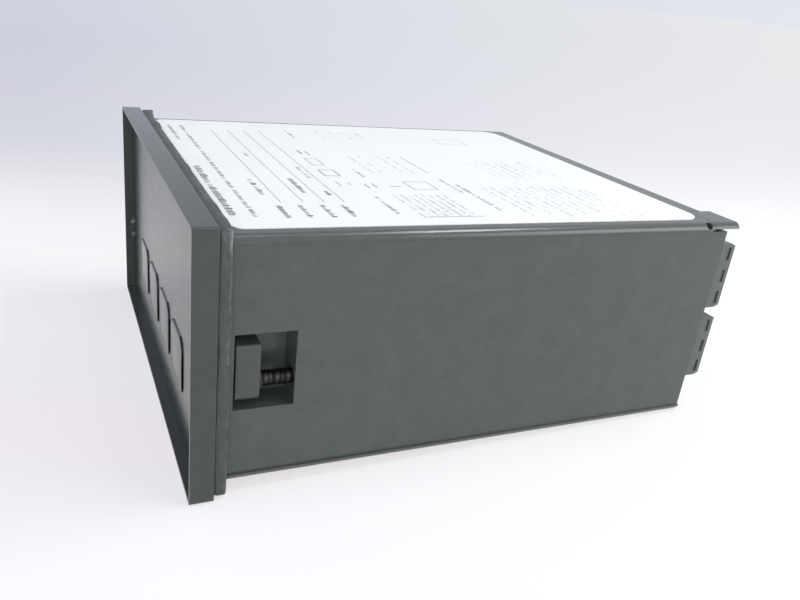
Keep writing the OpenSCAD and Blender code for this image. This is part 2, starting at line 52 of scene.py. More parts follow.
bodyOf = {node: body for body, members in record["behaviour"]["bodies"].items() for node in members}
slotOf = {part["node"]: part["material_slot"] for part in record["subparts"]}
print("frame loaded:", len(nodes), "nodes")


def newMaterial(name):
    material = bpy.data.materials.new(name)
    material.use_nodes = True
    tree = material.node_tree
    return material, tree, tree.nodes["Principled BSDF"]


def addNode(tree, kind, **settings):
    node = tree.nodes.new(kind)
    for key, value in settings.items():
        setattr(node, key, value)
    return node


def coordinates(tree):
    for node in tree.nodes:
        if node.bl_idname == "ShaderNodeTexCoord":
            return node.outputs["Object"]
    return addNode(tree, "ShaderNodeTexCoord").outputs["Object"]


def noiseOf(tree, size, detail=2.0, roughness=0.5, stretch=None):
    # noise whose features are about size across, in metres
    noise = addNode(tree, "ShaderNodeTexNoise")
    noise.inputs["Scale"].default_value = 1.0 / size
    noise.inputs["Detail"].default_value = detail
    noise.inputs["Roughness"].default_value = roughness
    source = coordinates(tree)
    if stretch:
        mapping = addNode(tree, "ShaderNodeMapping")
        mapping.inputs["Scale"].default_value = stretch
        tree.links.new(source, mapping.inputs["Vector"])
        source = mapping.outputs["Vector"]
    tree.links.new(source, noise.inputs["Vector"])
    return noise.outputs["Fac"]


def rampOf(tree, source, stops):
    ramp = addNode(tree, "ShaderNodeValToRGB")
    elements = ramp.color_ramp.elements
    while len(elements) < len(stops):
        elements.new(0.5)
    for element, (place, colour) in zip(elements, stops):
        element.position = place
        element.color = (*colour, 1.0)
    tree.links.new(source, ramp.inputs["Fac"])
    return ramp.outputs["Color"]


def rangeOf(tree, source, low, high, fromLow=0.3, fromHigh=0.7):
    node = addNode(tree, "ShaderNodeMapRange")
    node.inputs["From Min"].default_value = fromLow
    node.inputs["From Max"].default_value = fromHigh
    node.inputs["To Min"].default_value = low
    node.inputs["To Max"].default_value = high
    tree.links.new(source, node.inputs["Value"])
    return node.outputs["Result"]


def bumpOf(tree, shader, height, distance):
    bump = addNode(tree, "ShaderNodeBump")
    bump.inputs["Distance"].default_value = distance
    bump.inputs["Strength"].default_value = 1.0
    tree.links.new(height, bump.inputs["Height"])
    tree.links.new(bump.outputs["Normal"], shader.inputs["Normal"])


def mathOf(tree, operation, first, second, **settings):
    # a Math node on two values, each of them a socket or a plain number
    node = addNode(tree, "ShaderNodeMath", operation=operation, **settings)
    for socket, value in zip(node.inputs, (first, second)):
        if isinstance(value, (int, float)):
            socket.default_value = value
        else:
            tree.links.new(value, socket)
    return node.outputs["Value"]


def overlaid(tree, amount, under, colour):
    # one plain colour laid over a changing one
    mix = addNode(tree, "ShaderNodeMix", data_type="RGBA")
    tree.links.new(amount, mix.inputs["Factor"])
    tree.links.new(under, mix.inputs[6])
    mix.inputs[7].default_value = (*colour, 1.0)
    return mix.outputs[2]


def shade(colour, factor):
    return tuple(min(1.0, part * factor) for part in colour)


def tonesOf(tree, source, colour, darkest, lightest):
    return rampOf(tree, source, [(0.3, shade(colour, darkest)), (0.7, shade(colour, lightest))])


# how large the features of each texture are
textureSizes = {"mouldedCloud": 5 * mm, "polishedCloud": 14 * mm, "polishedScuffs": 1.2 * mm,
                "polishedRipple": 3 * mm, "metalTone": 2 * mm, "metalLines": 0.2 * mm,
                "rubberPatches": 2.5 * mm, "rubberStreaks": 0.7 * mm, "rubberGrain": 0.3 * mm,
                "rimScuff": 1.3 * mm, "boardTracks": 1.5 * mm, "boardLacquer": 3 * mm}


def grainedPlastic(name, colour, roughness, grain=0.25 * mm, depth=0.012 * mm, spread=0.1,
                   specular=0.5):
    # moulded plastic: a fine spark-eroded grain, and cloudy change of tone and gloss
    material, tree, shader = newMaterial(name)
    cloud = noiseOf(tree, textureSizes["mouldedCloud"], detail=7.0, roughness=0.75)
    tree.links.new(tonesOf(tree, cloud, colour, 1 - spread, 1 + spread), shader.inputs["Base Color"])
    fine = noiseOf(tree, grain, detail=3.0, roughness=0.65)
    tree.links.new(rangeOf(tree, fine, roughness * 0.85, roughness * 1.15), shader.inputs["Roughness"])
    shader.inputs["Specular IOR Level"].default_value = specular
    bumpOf(tree, shader, fine, depth)
    return material


def polishedPlastic(name, colour, roughness, ripple=0.002 * mm, spread=0.1):
    # smooth plastic, resin or film: a slow change of tone, light scuffs and a faint ripple
    material, tree, shader = newMaterial(name)
    cloud = noiseOf(tree, textureSizes["polishedCloud"], detail=2.0)
    tree.links.new(tonesOf(tree, cloud, colour, 1 - spread, 1 + spread), shader.inputs["Base Color"])
    scuffs = noiseOf(tree, textureSizes["polishedScuffs"], detail=4.0, roughness=0.7)
    tree.links.new(rangeOf(tree, scuffs, roughness * 0.8, roughness * 1.3), shader.inputs["Roughness"])
    bumpOf(tree, shader, noiseOf(tree, textureSizes["polishedRipple"], detail=2.0), ripple)
    return material


def platedMetal(name, colour, roughness, brushed=(1, 1, 1)):
    material, tree, shader = newMaterial(name)
    shader.inputs["Metallic"].default_value = 1.0
    tone = noiseOf(tree, textureSizes["metalTone"], detail=3.0)
    tree.links.new(tonesOf(tree, tone, colour, 0.88, 1.08), shader.inputs["Base Color"])
    lines = noiseOf(tree, textureSizes["metalLines"], detail=2.0, stretch=brushed)
    tree.links.new(rangeOf(tree, lines, roughness - 0.08, roughness + 0.1), shader.inputs["Roughness"])
    bumpOf(tree, shader, lines, 0.004 * mm)
    return material


def rubber(name, values):
    # soft black rubber, with whitish streaks laid over it where the mesh's whitening attribute marks it
    material, tree, shader = newMaterial(name)
    colour = values["colour"]
    patches = noiseOf(tree, textureSizes["rubberPatches"], detail=4.0, roughness=0.7)
    plain = rampOf(tree, patches, [(0.35, shade(colour, 0.9)), (0.7, shade(colour, 1.15))])
    whitened = addNode(tree, "ShaderNodeAttribute", attribute_name="whitening")
    smears = noiseOf(tree, textureSizes["rubberStreaks"], detail=5.0, roughness=0.7,
                     stretch=values["stretch"])
    streaks = rangeOf(tree, smears, 0.0, 1.0, 0.40, 0.66)
    amount = mathOf(tree, "MULTIPLY", whitened.outputs["Fac"], streaks, use_clamp=True)
    tree.links.new(overlaid(tree, amount, plain, values["streakColour"]), shader.inputs["Base Color"])
    fine = noiseOf(tree, textureSizes["rubberGrain"], detail=3.0)
    tree.links.new(rangeOf(tree, fine, values["roughness"] - 0.06, values["roughness"] + 0.1),
                   shader.inputs["Roughness"])
    bumpOf(tree, shader, fine, 0.01 * mm)
    return material


def casePlastic(values):
    # the case's own finish: spark-eroded grain, a shade deeper over the bezel, and a pale scuff
    # inside its rim
    material = grainedPlastic("casePlastic", values["colour"], values["roughness"], values["grain"],
                              values["grainDepth"], values["spread"], values["specular"])
    tree = material.node_tree
    shader = tree.nodes["Principled BSDF"]
    colourLink = shader.inputs["Base Color"].links[0].from_socket
    split = addNode(tree, "ShaderNodeSeparateXYZ")
    tree.links.new(coordinates(tree), split.inputs[0])
    deeper = rangeOf(tree, split.outputs["Y"], values["bezelTone"], 1.0, *values["bezelBack"])
    toned = addNode(tree, "ShaderNodeVectorMath", operation="SCALE")
    tree.links.new(colourLink, toned.inputs[0])
    tree.links.new(deeper, toned.inputs["Scale"])
    mapping = addNode(tree, "ShaderNodeMapping", vector_type="TEXTURE")
    mapping.inputs["Location"].default_value = values["scuffPlace"]
    mapping.inputs["Scale"].default_value = values["scuffSize"]
    tree.links.new(coordinates(tree), mapping.inputs["Vector"])
    distance = addNode(tree, "ShaderNodeVectorMath", operation="LENGTH")
    tree.links.new(mapping.outputs["Vector"], distance.inputs[0])
    inside = rangeOf(tree, distance.outputs["Value"], 1.0, 0.0, 0.55, 1.0)
    streaks = rangeOf(tree, noiseOf(tree, textureSizes["rimScuff"], detail=2.0), 0.0, 1.0, 0.42, 0.62)
    amount = mathOf(tree, "MULTIPLY", inside, streaks)
    scuffed = overlaid(tree, amount, toned.outputs["Vector"], values["scuffColour"])
    tree.links.new(scuffed, shader.inputs["Base Color"])
    return material


def tintedWindow(values):
    # smoked sheet: nearly black, a little light through it, faint ripple in its gloss
    material = polishedPlastic("tintedWindow", values["colour"], values["roughness"], values["ripple"])
    shader = material.node_tree.nodes["Principled BSDF"]
    shader.inputs["Alpha"].default_value = values["alpha"]
    shader.inputs["IOR"].default_value = 1.57
    return material


def circuitBoard(name, colour):
    # lacquered laminate: solder lacquer over faint copper tracks
    material, tree, shader = newMaterial(name)
    weave = noiseOf(tree, textureSizes["boardTracks"], detail=1.0, stretch=(1, 0.2, 1))
    tree.links.new(rampOf(tree, weave, [(0.46, shade(colour, 0.8)), (0.5, shade(colour, 1.3)),
                                        (0.54, shade(colour, 0.8))]), shader.inputs["Base Color"])
    lacquer = noiseOf(tree, textureSizes["boardLacquer"])
    tree.links.new(rangeOf(tree, lacquer, 0.25, 0.4), shader.inputs["Roughness"])
    bumpOf(tree, shader, weave, 0.02 * mm)
    return material


caseValues = {"colour": (0.058, 0.066, 0.065), "roughness": 0.24, "grain": 0.3 * mm,
              "grainDepth": 0.013 * mm, "specular": 0.45, "edge": 0.18 * mm,
              "spread": 0.11, "bezelTone": 0.7, "bezelBack": (-2.4 * mm, -2.1 * mm),
              "scuffPlace": (-47.4 * mm, -4.3 * mm, -6.8 * mm),
              "scuffSize": (0.6 * mm, 0.8 * mm, 3.2 * mm), "scuffColour": (0.22, 0.23, 0.23)}
windowValues = {"colour": (0.018, 0.034, 0.031), "roughness": 0.17, "ripple": 0.001 * mm, "alpha": 0.86}
labelValues = {"colour": (0.85, 0.85, 0.84), "ink": (0.12, 0.12, 0.13), "softInk": (0.27, 0.27, 0.29),
               "faintInk": (0.5, 0.5, 0.53)}

rubberValues = {"colour": (0.034, 0.038, 0.038), "roughness": 0.55, "streakColour": (0.30, 0.32, 0.32),
                "stretch": (1, 1, 0.35)}

finishes = {
    "shell_plastic": casePlastic(caseValues),
    "window_plastic": tintedWindow(windowValues),
    "gasket_rubber": rubber("gasketRubber", rubberValues),
    "label_film": polishedPlastic("labelFilm", labelValues["colour"], 0.5, 0.001 * mm, spread=0.015),
    "pawl_plastic": grainedPlastic("pawlPlastic", (0.046, 0.051, 0.050), 0.4),
    # painted shade: the steel is darkened to near black for the shaded clamp well its screws sit in
    "steel": platedMetal("steelDarkenedAsShade", (0.045, 0.045, 0.041), 0.42),
    # painted shade: the brass is darkened far below its own colour for the dim clamp well it sits in
    "brass": platedMetal("brassDarkenedAsShade", (0.34, 0.26, 0.13), 0.42),
    "key_rubber": grainedPlastic("keyRubber", (0.034, 0.049, 0.047), 0.2, 0.18 * mm, 0.002 * mm),
    "nylon": grainedPlastic("nylon", (0.66, 0.63, 0.54), 0.4, spread=0.05),
    "board": circuitBoard("boardLacquer", (0.014, 0.09, 0.035)),
    "digit_plastic": polishedPlastic("digitFace", (0.05, 0.05, 0.052), 0.35),
    "chip_plastic": grainedPlastic("chipPlastic", (0.02, 0.02, 0.022), 0.5),
    "core_steel": platedMetal("laminations", (0.32, 0.31, 0.3), 0.45, brushed=(12, 1, 1)),
    "copper_wire": polishedPlastic("enamelledWire", (0.42, 0.13, 0.04), 0.3),
    "can_sleeve": polishedPlastic("canSleeve", (0.02, 0.04, 0.12), 0.3),
    "fuse_plastic": grainedPlastic("fusePlastic", (0.25, 0.08, 0.04), 0.45),
    "varistor_resin": polishedPlastic("varistorResin", (0.03, 0.12, 0.3), 0.25),
    "header_plastic": grainedPlastic("headerPlastic", (0.03, 0.17, 0.06), 0.45),
    "plug_plastic": grainedPlastic("plugPlastic", (0.080, 0.088, 0.086), 0.42),
}
inkMaterial = polishedPlastic("labelInk", labelValues["ink"], 0.5)
softInkMaterial = polishedPlastic("labelSoftInk", labelValues["softInk"], 0.5)
faintInkMaterial = polishedPlastic("labelFaintInk", labelValues["faintInk"], 0.5)
segmentMaterial = polishedPlastic("segmentResin", (0.5, 0.46, 0.44), 0.4)

for name, part in nodes.items():
    part.data.materials.clear()
    part.data.materials.append(finishes[slotOf[name]])
print("finishes ready")


def addPiece(name, mesh, material, body):
    piece = bpy.data.objects.new(name, mesh)
    bpy.context.scene.collection.objects.link(piece)
    mesh.materials.clear()
    mesh.materials.append(material)
    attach(piece, body)
    return piece


weldValues = {"merge": 0.0005 * mm, "flat": 0.4}
edgeValues = {"segments": 2, "angle": 32}


def weldedShape(node):
    # the CAD's loose triangles, merged into a surface that can be edited
    shape = bmesh.new()
    shape.from_mesh(nodes[node].data)
    bmesh.ops.remove_doubles(shape, verts=shape.verts, dist=weldValues["merge"])
    return shape


def meshOf(shape, name):
    mesh = bpy.data.meshes.new(name)
    shape.to_mesh(mesh)
    shape.free()
    return mesh


def smoothMesh(mesh, angle):
    # smooth faces, with sharp edges from this angle on, in place of any normals copied along
    for layer in ("custom_normal", "sharp_face", "sharp_edge"):
        if layer in mesh.attributes:
            mesh.attributes.remove(mesh.attributes[layer])
    for polygon in mesh.polygons:
        polygon.use_smooth = True
    mesh.set_sharp_from_angle(angle=math.radians(angle))


def softened(node, name, edge):
    # the same solid with its sharp edges broken, as a moulded or machined piece has them
    shape = weldedShape(node)
    bmesh.ops.dissolve_limit(shape, angle_limit=math.radians(weldValues["flat"]),
                             use_dissolve_boundaries=False, verts=shape.verts, edges=shape.edges)
    mesh = meshOf(shape, name)
    smoothMesh(mesh, edgeValues["angle"])
    piece = addPiece(name, mesh, finishes[slotOf[node]], bodyOf[node])
    bevel = piece.modifiers.new("brokenEdges", "BEVEL")
    bevel.width = edge
    bevel.segments = edgeValues["segments"]
    bevel.limit_method = "ANGLE"
    bevel.angle_limit = math.radians(edgeValues["angle"])
    bevel.harden_normals = True
    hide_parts(node)
    return piece


edgeOf = {"case": caseValues["edge"], "front_window": 0.08 * mm, "rear_cover": 0.12 * mm,
          "plug_upper": 0.18 * mm, "plug_lower": 0.18 * mm}
for side in ("right", "left"):
    edgeOf["pawl_" + side] = 0.25 * mm
    edgeOf["thread_insert_" + side] = 0.1 * mm
    edgeOf["screw_clip_" + side] = 0.05 * mm
    edgeOf["thrust_washer_" + side] = 0.06 * mm
for node, edge in edgeOf.items():
    softened(node, node + "_moulded", edge)
print("moulded pieces softened")

keyValues = {"crown": 0.2 * mm, "edge": 0.4 * mm, "edgeRings": 6, "crownRings": 10, "step": 0.5 * mm,
             "clear": 0.05 * mm, "near": 0.01 * mm, "smooth": 50}


def borderOf(shape):
    # the one open border of a shape, as its points in order
    for edge in [edge for edge in shape.edges if len(edge.link_faces) == 1]:
        cuts = int(edge.calc_length() / keyValues["step"])
        if cuts:
            bmesh.ops.subdivide_edges(shape, edges=[edge], cuts=cuts)
    border = [edge for edge in shape.edges if len(edge.link_faces) == 1]
    points = [border[0].verts[0]]
    border = set(border)
    while border:
        edge = next((edge for edge in points[-1].link_edges if edge in border), None)
        if edge is None:
            break
        border.remove(edge)
        points.append(edge.other_vert(points[-1]))
    return points[:-1]


def crownedKey(node):
    # the key taken off down to its flange, and built up again with its rim rounded over
    # and a soft pillow on its face
    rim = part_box(node)[0].y + keyValues["crown"]
    shape = weldedShape(node)
    flange = min(vertex.co.y for vertex in shape.verts if vertex.co.y > rim + keyValues["clear"])
    above = [polygon for polygon in shape.faces
             if min(vertex.co.y for vertex in polygon.verts) < flange - keyValues["near"]]
    bmesh.ops.delete(shape, geom=above, context="FACES")
    ring = borderOf(shape)
    places = [(point.co.x, point.co.z) for point in ring]
    centre, half = [], []
    for axis in (0, 1):
        ends = (min(place[axis] for place in places), max(place[axis] for place in places))
        centre.append(sum(ends) / 2)
        half.append((ends[1] - ends[0]) / 2)
    # each ring: its share of the outline's size along each axis, and its depth
    rings = [(1, 1, rim + keyValues["edge"])]
    for step in range(1, keyValues["edgeRings"] + 1):
        angle = math.pi / 2 * step / keyValues["edgeRings"]
        inset = keyValues["edge"] * (1 - math.cos(angle))
        rings.append((1 - inset / half[0], 1 - inset / half[1],
                      rim + keyValues["edge"] * (1 - math.sin(angle))))
    shrunk = rings[-1]
    for step in range(1, keyValues["crownRings"] + 1):
        share = step / (keyValues["crownRings"] + 1)
        rings.append((shrunk[0] * (1 - share), shrunk[1] * (1 - share),
                      rim - keyValues["crown"] * (1 - (1 - share) ** 2)))
    for scaleX, scaleZ, depth in rings:
        inner = [shape.verts.new((centre[0] + (x - centre[0]) * scaleX, depth,
                                  centre[1] + (z - centre[1]) * scaleZ)) for x, z in places]
        for i in range(len(ring)):
            j = (i + 1) % len(ring)
            shape.faces.new((ring[i], ring[j], inner[j], inner[i]))
        ring = inner
    peak = shape.verts.new((centre[0], rim - keyValues["crown"], centre[1]))
    for i in range(len(ring)):
        shape.faces.new((ring[i], ring[(i + 1) % len(ring)], peak))
    bmesh.ops.recalc_face_normals(shape, faces=shape.faces)
    mesh = meshOf(shape, node + "_moulded")
    smoothMesh(mesh, keyValues["smooth"])
    piece = addPiece(node + "_moulded", mesh, finishes[slotOf[node]], bodyOf[node])
    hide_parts(node)


for i in range(1, 5):
    crownedKey("key_%d" % i)
print("keys made")


def geometryTree(name, inputs):
    tree = bpy.data.node_groups.new(name, "GeometryNodeTree")
    for label, kind, value in inputs:
        socket = tree.interface.new_socket(label, in_out="INPUT", socket_type=kind)
        if value is not None:
            socket.default_value = value
    tree.interface.new_socket("Geometry", in_out="OUTPUT", socket_type="NodeSocketGeometry")
    return tree, tree.nodes.new("NodeGroupInput"), tree.nodes.new("NodeGroupOutput")


def grown(name, tree, values):
    # runs a tree once with these inputs and hands back its plain mesh
    holder = bpy.data.objects.new(name, bpy.data.meshes.new(name))
    bpy.context.scene.collection.objects.link(holder)
    modifier = holder.modifiers.new("grow", "NODES")
    modifier.node_group = tree
    for item in tree.interface.items_tree:
        if item.in_out == "INPUT" and item.name in values:
            modifier[item.identifier] = values[item.name]
    evaluated = holder.evaluated_get(bpy.context.evaluated_depsgraph_get())
    mesh = bpy.data.meshes.new_from_object(evaluated)
    bpy.data.objects.remove(holder)
    return mesh


printValues = {"lift": 0.012 * mm, "thickness": 0.012 * mm, "seed": 4, "seedStep": 40,
               "blockWidth": (0.3, 0.8), "blockHeight": (0.55, 1.0)}


def chanceOf(tree, seed, low=0.0, high=1.0):
    # a random number between two limits for each point
    chance = addNode(tree, "FunctionNodeRandomValue", data_type="FLOAT")
    chance.inputs[2].default_value = low
    chance.inputs[3].default_value = high
    tree.links.new(seed, chance.inputs["Seed"])
    return chance.outputs[1]


def printRowTree():
    # a row of small blocks of random width and height with gaps, like print too fine to read
    tree, group, out = geometryTree("printRow", [
        ("Start", "NodeSocketVector", None), ("Blocks", "NodeSocketInt", 10),
        ("Pitch", "NodeSocketFloat", 1.0), ("Height", "NodeSocketFloat", 1.0),
        ("Thickness", "NodeSocketFloat", 0.01), ("Gaps", "NodeSocketFloat", 0.15),
        ("Seed", "NodeSocketInt", 0), ("Ink", "NodeSocketMaterial", None)])
    link, given = tree.links.new, group.outputs
    step = addNode(tree, "ShaderNodeCombineXYZ")
    link(given["Pitch"], step.inputs["X"])
    line = addNode(tree, "GeometryNodeMeshLine")
    link(given["Blocks"], line.inputs["Count"])
    link(given["Start"], line.inputs["Start Location"])
    link(step.outputs["Vector"], line.inputs["Offset"])
    isGap = addNode(tree, "FunctionNodeCompare", data_type="FLOAT", operation="LESS_THAN")
    link(chanceOf(tree, given["Seed"]), isGap.inputs[0])
    link(given["Gaps"], isGap.inputs[1])
    kept = addNode(tree, "GeometryNodeDeleteGeometry", domain="POINT")
    link(line.outputs["Mesh"], kept.inputs["Geometry"])
    link(isGap.outputs["Result"], kept.inputs["Selection"])
    width = mathOf(tree, "MULTIPLY", chanceOf(tree, given["Seed"], *printValues["blockWidth"]),
                   given["Pitch"])
    height = mathOf(tree, "MULTIPLY", chanceOf(tree, given["Seed"], *printValues["blockHeight"]),
                    given["Height"])
    # every block keeps its foot on the row's line, however tall it is
    missing = mathOf(tree, "SUBTRACT", given["Height"], height)
    shift = addNode(tree, "ShaderNodeCombineXYZ")
    link(mathOf(tree, "MULTIPLY", missing, -0.5), shift.inputs["Y"])
    seated = addNode(tree, "GeometryNodeSetPosition")
    link(kept.outputs["Geometry"], seated.inputs["Geometry"])
    link(shift.outputs["Vector"], seated.inputs["Offset"])
    size = addNode(tree, "ShaderNodeCombineXYZ")
    link(width, size.inputs["X"])
    link(height, size.inputs["Y"])
    link(given["Thickness"], size.inputs["Z"])
    block = addNode(tree, "GeometryNodeMeshCube")
    block.inputs["Size"].default_value = (1, 1, 1)
    spread = addNode(tree, "GeometryNodeInstanceOnPoints")
    link(seated.outputs["Geometry"], spread.inputs["Points"])
    link(block.outputs["Mesh"], spread.inputs["Instance"])
    link(size.outputs["Vector"], spread.inputs["Scale"])
    real = addNode(tree, "GeometryNodeRealizeInstances")
    link(spread.outputs["Instances"], real.inputs["Geometry"])
    painted = addNode(tree, "GeometryNodeSetMaterial")
    link(real.outputs["Geometry"], painted.inputs["Geometry"])
    link(given["Ink"], painted.inputs["Material"])
    link(painted.outputs["Geometry"], out.inputs["Geometry"])
    return tree


threadValues = {"crest": 1.42 * mm, "root": 1.2 * mm, "pitch": 0.635 * mm, "ridge": 0.22 * mm,
                "edge": 0.06 * mm, "steps": 32, "sides": 4, "near": 0.02 * mm, "smooth": 40}


def threadTree():
    # the ridge of a screw thread: a pointed section swept along a helix about +Y
    tree, group, out = geometryTree("screwThread", [
        ("Radius", "NodeSocketFloat", 1.0), ("Pitch", "NodeSocketFloat", 1.0),
        ("Turns", "NodeSocketFloat", 5.0), ("Ridge", "NodeSocketFloat", 0.1),
        ("Place", "NodeSocketVector", None), ("Metal", "NodeSocketMaterial", None)])
    link, given = tree.links.new, group.outputs
    helix = addNode(tree, "GeometryNodeCurveSpiral")
    helix.inputs["Resolution"].default_value = threadValues["steps"]
    link(given["Turns"], helix.inputs["Rotations"])
    link(given["Radius"], helix.inputs["Start Radius"])
    link(given["Radius"], helix.inputs["End Radius"])
    link(mathOf(tree, "MULTIPLY", given["Pitch"], given["Turns"]), helix.inputs["Height"])
    section = addNode(tree, "GeometryNodeCurvePrimitiveCircle")
    section.inputs["Resolution"].default_value = threadValues["sides"]
    link(given["Ridge"], section.inputs["Radius"])
    swept = addNode(tree, "GeometryNodeCurveToMesh")
    link(helix.outputs["Curve"], swept.inputs["Curve"])
    link(section.outputs["Curve"], swept.inputs["Profile Curve"])
    swept.inputs["Fill Caps"].default_value = True
    laid = addNode(tree, "GeometryNodeTransform")
    laid.inputs["Rotation"].default_value = (-math.pi / 2, 0, 0)
    link(swept.outputs["Mesh"], laid.inputs["Geometry"])
    placed = addNode(tree, "GeometryNodeTransform")
    link(laid.outputs["Geometry"], placed.inputs["Geometry"])
    link(given["Place"], placed.inputs["Translation"])
    real = addNode(tree, "GeometryNodeRealizeInstances")
    link(placed.outputs["Geometry"], real.inputs["Geometry"])
    painted = addNode(tree, "GeometryNodeSetMaterial")
    link(real.outputs["Geometry"], painted.inputs["Geometry"])
    link(given["Metal"], painted.inputs["Material"])
    link(painted.outputs["Geometry"], out.inputs["Geometry"])
    return tree


def joined(name, meshes):
    shape = bmesh.new()
    for mesh in meshes:
        shape.from_mesh(mesh)
        bpy.data.meshes.remove(mesh)
    return meshOf(shape, name)


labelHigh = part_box("label")[1]
# rows of small print, in mm: depth behind the panel, left end, right end, block pitch, height, gaps
printRows = {
    "labelHeading": [(2.4, 4, 37, 0.85, 1.4, 0.1), (11.1, 31, 38, 0.7, 1.0, 0.0),
                     (14.9, 31, 38, 0.7, 1.0, 0.0), (18.9, 31, 38, 0.7, 1.0, 0.0),
                     (22.7, 31, 38, 0.7, 1.0, 0.0), (10.3, 14, 25, 0.8, 1.0, 0.08),
                     (18.3, 13, 24, 0.8, 1.0, 0.08), (22.6, 22, 25, 0.7, 0.9, 0.0)],
    "labelSmallPrint": [(3.0, -36, -19, 0.7, 0.9, 0.12), (5.8, -36, 38, 0.62, 0.8, 0.14),
                        (14.6, -8, -5, 0.6, 0.8, 0.0), (22.6, 4, 13, 0.7, 0.9, 0.1),
                        (31.2, 26, 37, 0.6, 0.9, 0.15), (51.2, 13, 24, 0.6, 0.8, 0.12),
                        (53.0, 17, 36, 0.6, 0.8, 0.12), (31.0, -34, -24, 0.6, 0.7, 0.3),
                        (34.6, 5, 12, 0.6, 0.8, 0.1)],
    "labelFaintPrint": [(35.4 + 1.5 * row, 24.5, 38.5, 0.5, 0.7, 0.2) for row in range(8)]
                       + [(38.0 + 2.4 * row, -7, 8, 0.6, 0.6, 0.45) for row in range(5)]
                       + [(39.0 + 3.6 * row, -34, -26, 0.6, 0.6, 0.4) for row in range(4)]
                       + [(58.0 + 2.1 * row, 18 + row % 3, 40 - 5 * (row % 2), 0.55, 0.6, 0.4)
                          for row in range(13)]
                       + [(67.0 + 2.4 * row, -4 + row % 2, 13, 0.6, 0.6, 0.45) for row in range(8)],
}
inks = {"labelHeading": inkMaterial, "labelSmallPrint": softInkMaterial, "labelFaintPrint": faintInkMaterial}
rowTree = printRowTree()
for index, (pieceName, rows) in enumerate(printRows.items()):
    rowMeshes = []
    for number, (depth, left, right, pitch, height, gaps) in enumerate(rows):
        rowMeshes.append(grown("printRow", rowTree, {
            "Start": ((left + pitch / 2) * mm, depth * mm, labelHigh.z + printValues["lift"]),
            "Blocks": int((right - left) / pitch), "Pitch": pitch * mm, "Height": height * mm,
            "Thickness": printValues["thickness"], "Gaps": gaps,
            "Seed": printValues["seed"] + printValues["seedStep"] * index + number,
            "Ink": inks[pieceName]}))
    addPiece(pieceName, joined(pieceName, rowMeshes), inks[pieceName], "housing")


def boxes(name, places):
    # boxes from low and high corners, as one closed mesh each
    shape = bmesh.new()
    for low, high in places:
        made = bmesh.ops.create_cube(shape, size=1.0)
        low, high = Vector(low), Vector(high)
        for vertex in made["verts"]:
            vertex.co = Vector(((low[i] + high[i]) / 2 + vertex.co[i] * (high[i] - low[i]))
                               for i in range(3))
    return meshOf(shape, name)


def labelBox(left, right, near, far):
    base = labelHigh.z + printValues["lift"] - printValues["thickness"] / 2
    return ((left * mm, near * mm, base), (right * mm, far * mm, base + printValues["thickness"]))


# the ruled lines, the outlined fields and the short strokes of the label, in mm
ruleValues = {"depths": (12.1, 16.1, 20.0, 23.8), "left": -32, "right": 29, "half": 0.07}
fields = [(6, 11, 26.3, 29.8, 0.3), (-4, 2, 26.6, 29.4, 0.2), (15, 21, 41.5, 47, 0.22),
          (-29, -23, 70, 78, 0.15)]
strokes = [(-12, -8, 27.2, 27.6), (-11, -7, 28.8, 29.1), (15, 18.5, 27.0, 27.2), (16, 17.8, 29.2, 29.4),
           (17, 20, 32.2, 32.5), (16.5, 19.5, 34.0, 34.3), (18.6, 18.9, 37.2, 39.5), (38.6, 38.8, 35, 47.5),
           (-7, 8, 50.9, 51.1)]
linework = [labelBox(ruleValues["left"], ruleValues["right"], depth - ruleValues["half"],
                     depth + ruleValues["half"]) for depth in ruleValues["depths"]]
for left, right, near, far, line in fields:
    linework += [labelBox(left, right, near, near + line), labelBox(left, right, far - line, far),
                 labelBox(left, left + line, near + line, far - line),
                 labelBox(right - line, right, near + line, far - line)]
linework += [labelBox(*stroke) for stroke in strokes]
addPiece("labelLinework", boxes("labelLinework", linework), softInkMaterial, "housing")
print("label printed")

helixTree = threadTree()


def threadedScrew(side):
    # the copied screw with its shank cut down to the thread's root, and the ridge round it
    node = "clamp_screw_" + side
    piece = softened(node, node + "_turned", threadValues["edge"])
    low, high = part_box(node)
    axis = Vector(((low.x + high.x) / 2, 0, (low.z + high.z) / 2))
    for vertex in piece.data.vertices:
        offset = Vector((vertex.co.x - axis.x, 0, vertex.co.z - axis.z))
        if abs(offset.length - threadValues["crest"]) < threadValues["near"]:
            slim = offset * (threadValues["root"] / offset.length)
            vertex.co = Vector((axis.x + slim.x, vertex.co.y, axis.z + slim.z))
    ridge = threadValues["ridge"]
    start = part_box("thrust_washer_" + side)[1].y + ridge
    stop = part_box("thread_insert_" + side)[1].y
    mesh = grown("thread_" + side, helixTree, {
        "Radius": threadValues["crest"] - ridge, "Pitch": threadValues["pitch"],
        "Turns": (stop - start) / threadValues["pitch"], "Ridge": ridge,
        "Place": (axis.x, start, axis.z), "Metal": finishes["steel"]})
    smoothMesh(mesh, threadValues["smooth"])
    addPiece("clampThread_" + side, mesh, finishes["steel"], bodyOf[node])


for side in ("right", "left"):
    threadedScrew(side)
print("clamp screws threaded")


digitValues = {"count": 5, "height": 12.6 * mm, "width": 5.8 * mm, "bar": 1.34 * mm, "gap": 0.36 * mm,
               "depth": 0.3 * mm, "sunk": 0.02 * mm, "lean": 0.12, "point": 0.77 * mm,
               "pointAside": 1.6 * mm, "pointSides": 24}


